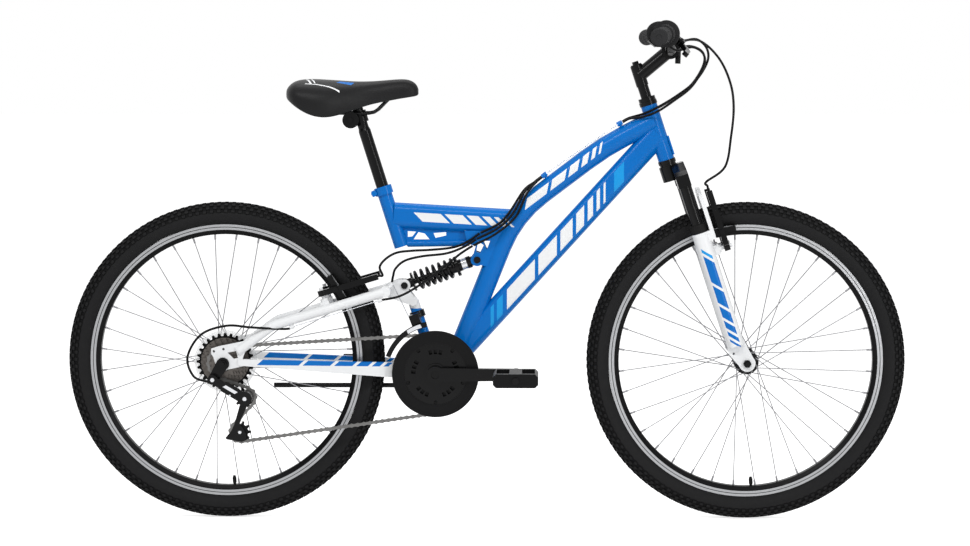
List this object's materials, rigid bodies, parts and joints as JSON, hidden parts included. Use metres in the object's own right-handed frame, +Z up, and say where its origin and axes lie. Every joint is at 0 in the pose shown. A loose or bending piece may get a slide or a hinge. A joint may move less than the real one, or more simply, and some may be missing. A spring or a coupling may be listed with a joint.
{
  "type": "mountain bike",
  "caption": "Full suspension mountain bike with telescopic fork, coil shock, rim brakes, twist shifters, derailleurs and kickstand.",
  "frame": {"origin": "on the ground, midway between the two axles in the plane of the wheels", "axes": "+X forwards, +Y to the rider's left, +Z up"},
  "size_m": [1.7267, 0.6408, 1.0257],
  "materials": {
    "frame_paint": "gloss",
    "white_paint": "gloss",
    "black_paint": "satin",
    "bare_steel": "satin",
    "rim_metal": "satin",
    "hub_metal": "satin",
    "chain_steel": "satin",
    "tyre": "matte",
    "grip_rubber": "matte",
    "black_plastic": "matte",
    "clear_plastic": "gloss",
    "saddle_cover": "satin",
    "cable_housing": "satin",
    "black_alloy": "satin",
    "seal_rubber": "matte"
  },
  "bodies": {
    "frame": {"main_frame": "frame_paint", "pivot_axle": "bare_steel", "headset_cups": "black_paint", "seat_clamp": "frame_paint", "frame_cables": "cable_housing"},
    "steering": {"fork_steerer": "black_paint", "stanchions": "black_paint", "fork_springs": "bare_steel", "stem": "black_alloy", "handlebar": "black_alloy", "grips": "grip_rubber", "bar_clamps": "black_plastic", "steering_cables": "cable_housing", "front_brake_cable": "cable_housing"},
    "fork_lower_legs": {"fork_lowers": "white_paint", "fork_seals": "seal_rubber", "front_axle": "bare_steel"},
    "front_wheel": {"front_tyre": "tyre", "front_rim": "rim_metal", "front_spokes": "bare_steel", "front_hub": "hub_metal"},
    "swingarm": {"rear_triangle": "white_paint", "bb_cups": "bare_steel", "front_derailleur": "black_alloy", "rear_derailleur": "black_alloy", "chain": "chain_steel", "rear_axle": "bare_steel", "kickstand_bracket": "black_paint", "rear_cables": "cable_housing", "suspension_cables": "cable_housing"},
    "crankset": {"crank_axles": "bare_steel", "crank_arms": "black_paint", "chainrings": "chain_steel", "chain_guard": "black_plastic"},
    "right_pedal": {"pedal_right": "black_plastic"},
    "left_pedal": {"pedal_left": "black_plastic"},
    "sprockets": {"freewheel": "chain_steel"},
    "rear_wheel": {"rear_tyre": "tyre", "rear_rim": "rim_metal", "rear_spokes": "bare_steel", "rear_hub": "hub_metal", "spoke_protector": "clear_plastic"},
    "shock_upper": {"shock_body": "black_paint"},
    "shock_lower": {"shock_shaft": "bare_steel", "shock_spring": "black_paint"},
    "seat": {"seatpost": "black_alloy", "saddle": "saddle_cover", "saddle_rails": "bare_steel"},
    "right_lever": {"brake_lever_right": "black_alloy"},
    "left_lever": {"brake_lever_left": "black_alloy"},
    "front_right_arm": {"front_brake_right": "black_alloy"},
    "front_left_arm": {"front_brake_left": "black_alloy"},
    "rear_right_arm": {"rear_brake_right": "black_alloy"},
    "rear_left_arm": {"rear_brake_left": "black_alloy"},
    "stand": {"kickstand_leg": "black_paint"},
    "right_shifter": {"twist_grip_right": "grip_rubber"},
    "left_shifter": {"twist_grip_left": "grip_rubber"},
    "guide_wheel": {"guide_pulley": "black_plastic"},
    "tension_wheel": {"tension_pulley": "black_plastic"}
  },
  "joints": [
    {"name": "steer", "type": "hinge", "parent": "frame", "child": "steering", "pos_m": [0.37104, 0, 0.74194], "axis": [-0.309, 0, 0.9511], "range_deg": [-60, 60], "deforming": ["steering_cables"]},
    {"name": "fork_travel", "type": "slide", "parent": "steering", "child": "fork_lower_legs", "axis": [-0.309, 0, 0.9511], "range_m": [0, 0.06], "stiffness_N_per_m": 8000, "springref_m": -0.03, "deforming": ["fork_springs", "front_brake_cable"]},
    {"name": "front_wheel_spin", "type": "hinge", "parent": "fork_lower_legs", "child": "front_wheel", "pos_m": [0.5355, 0, 0.328], "axis": [0, 1, 0], "continuous": true},
    {"name": "swingarm_pivot", "type": "hinge", "parent": "frame", "child": "swingarm", "pos_m": [-0.0565, 0, 0.344], "axis": [0, 1, 0], "range_deg": [0, 10], "stiffness_Nm_per_rad": 400, "springref_deg": -14.32, "deforming": ["shock_spring", "suspension_cables"]},
    {"name": "shock_upper_pivot", "type": "hinge", "parent": "frame", "child": "shock_upper", "pos_m": [-0.017, 0, 0.537], "axis": [0, 1, 0], "range_deg": [-0.2, 3.55]},
    {"name": "shock_lower_pivot", "type": "hinge", "parent": "swingarm", "child": "shock_lower", "pos_m": [-0.1665, 0, 0.484], "axis": [0, 1, 0], "range_deg": [-6.85, 0.2]},
    {"name": "crank_spin", "type": "hinge", "parent": "swingarm", "child": "crankset", "pos_m": [-0.1015, 0, 0.306], "axis": [0, 1, 0], "continuous": true},
    {"name": "right_pedal_spin", "type": "hinge", "parent": "crankset", "child": "right_pedal", "pos_m": [0.0635, -0.129, 0.306], "axis": [0, 1, 0], "continuous": true},
    {"name": "left_pedal_spin", "type": "hinge", "parent": "crankset", "child": "left_pedal", "pos_m": [-0.2665, 0.129, 0.306], "axis": [0, 1, 0], "continuous": true},
    {"name": "sprocket_spin", "type": "hinge", "parent": "swingarm", "child": "sprockets", "pos_m": [-0.5355, 0, 0.328], "axis": [0, 1, 0], "continuous": true},
    {"name": "rear_wheel_spin", "type": "hinge", "parent": "swingarm", "child": "rear_wheel", "pos_m": [-0.5355, 0, 0.328], "axis": [0, 1, 0], "continuous": true},
    {"name": "guide_pulley_spin", "type": "hinge", "parent": "swingarm", "child": "guide_wheel", "pos_m": [-0.492, -0.0545, 0.256], "axis": [0, 1, 0], "continuous": true},
    {"name": "tension_pulley_spin", "type": "hinge", "parent": "swingarm", "child": "tension_wheel", "pos_m": [-0.5037, -0.0545, 0.185], "axis": [0, 1, 0], "continuous": true},
    {"name": "right_lever_pull", "type": "hinge", "parent": "steering", "child": "right_lever", "pos_m": [0.38975, -0.135, 0.98097], "axis": [-0.6349, 0.1227, -0.7628], "range_deg": [0, 18], "stiffness_Nm_per_rad": 0.8, "springref_deg": -28.65, "deforming": ["suspension_cables"]},
    {"name": "left_lever_pull", "type": "hinge", "parent": "steering", "child": "left_lever", "pos_m": [0.38975, 0.135, 0.98097], "axis": [0.6349, 0.1227, 0.7628], "range_deg": [0, 18], "stiffness_Nm_per_rad": 0.8, "springref_deg": -28.65, "deforming": ["front_brake_cable"]},
    {"name": "front_right_arm_swing", "type": "hinge", "parent": "fork_lower_legs", "child": "front_right_arm", "pos_m": [0.49304, -0.042, 0.56708], "axis": [-0.9511, 0, -0.309], "range_deg": [0, 2.9], "stiffness_Nm_per_rad": 0.5, "springref_deg": -11.46},
    {"name": "front_left_arm_swing", "type": "hinge", "parent": "fork_lower_legs", "child": "front_left_arm", "pos_m": [0.49304, 0.042, 0.56708], "axis": [0.9511, 0, 0.309], "range_deg": [0, 2.9], "stiffness_Nm_per_rad": 0.5, "springref_deg": -11.46},
    {"name": "rear_right_arm_swing", "type": "hinge", "parent": "swingarm", "child": "rear_right_arm", "pos_m": [-0.33389, -0.042, 0.47044], "axis": [-0.2831, 0, 0.9591], "range_deg": [0, 2.9], "stiffness_Nm_per_rad": 0.5, "springref_deg": -11.46},
    {"name": "rear_left_arm_swing", "type": "hinge", "parent": "swingarm", "child": "rear_left_arm", "pos_m": [-0.33389, 0.042, 0.47044], "axis": [0.2831, 0, -0.9591], "range_deg": [0, 2.9], "stiffness_Nm_per_rad": 0.5, "springref_deg": -11.46},
    {"name": "right_shifter_turn", "type": "hinge", "parent": "steering", "child": "right_shifter", "pos_m": [0.35841, -0.19405, 0.99755], "axis": [-0.1376, -0.9895, -0.0447], "range_deg": [-20, 80]},
    {"name": "left_shifter_turn", "type": "hinge", "parent": "steering", "child": "left_shifter", "pos_m": [0.35841, 0.19405, 0.99755], "axis": [-0.1376, 0.9895, -0.0447], "range_deg": [-70, 0]},
    {"name": "seat_height", "type": "slide", "parent": "frame", "child": "seat", "axis": [-0.3007, 0, 0.9537], "range_m": [-0.035, 0.03]},
    {"name": "stand_swing", "type": "hinge", "parent": "swingarm", "child": "stand", "pos_m": [-0.182, 0.056, 0.268], "axis": [0, -1, 0], "range_deg": [0, 85]}
  ],
  "couplings": [
    {"joint": "shock_upper_pivot", "follows": "swingarm_pivot", "ratio": 0.33463},
    {"joint": "shock_lower_pivot", "follows": "swingarm_pivot", "ratio": -0.66537},
    {"joint": "sprocket_spin", "follows": "crank_spin", "ratio": 2.5},
    {"joint": "guide_pulley_spin", "follows": "crank_spin", "ratio": -4},
    {"joint": "tension_pulley_spin", "follows": "crank_spin", "ratio": 4},
    {"joint": "front_right_arm_swing", "follows": "left_lever_pull", "ratio": 0.1556},
    {"joint": "front_left_arm_swing", "follows": "left_lever_pull", "ratio": 0.1556},
    {"joint": "rear_right_arm_swing", "follows": "right_lever_pull", "ratio": 0.1556},
    {"joint": "rear_left_arm_swing", "follows": "right_lever_pull", "ratio": 0.1556}
  ]
}
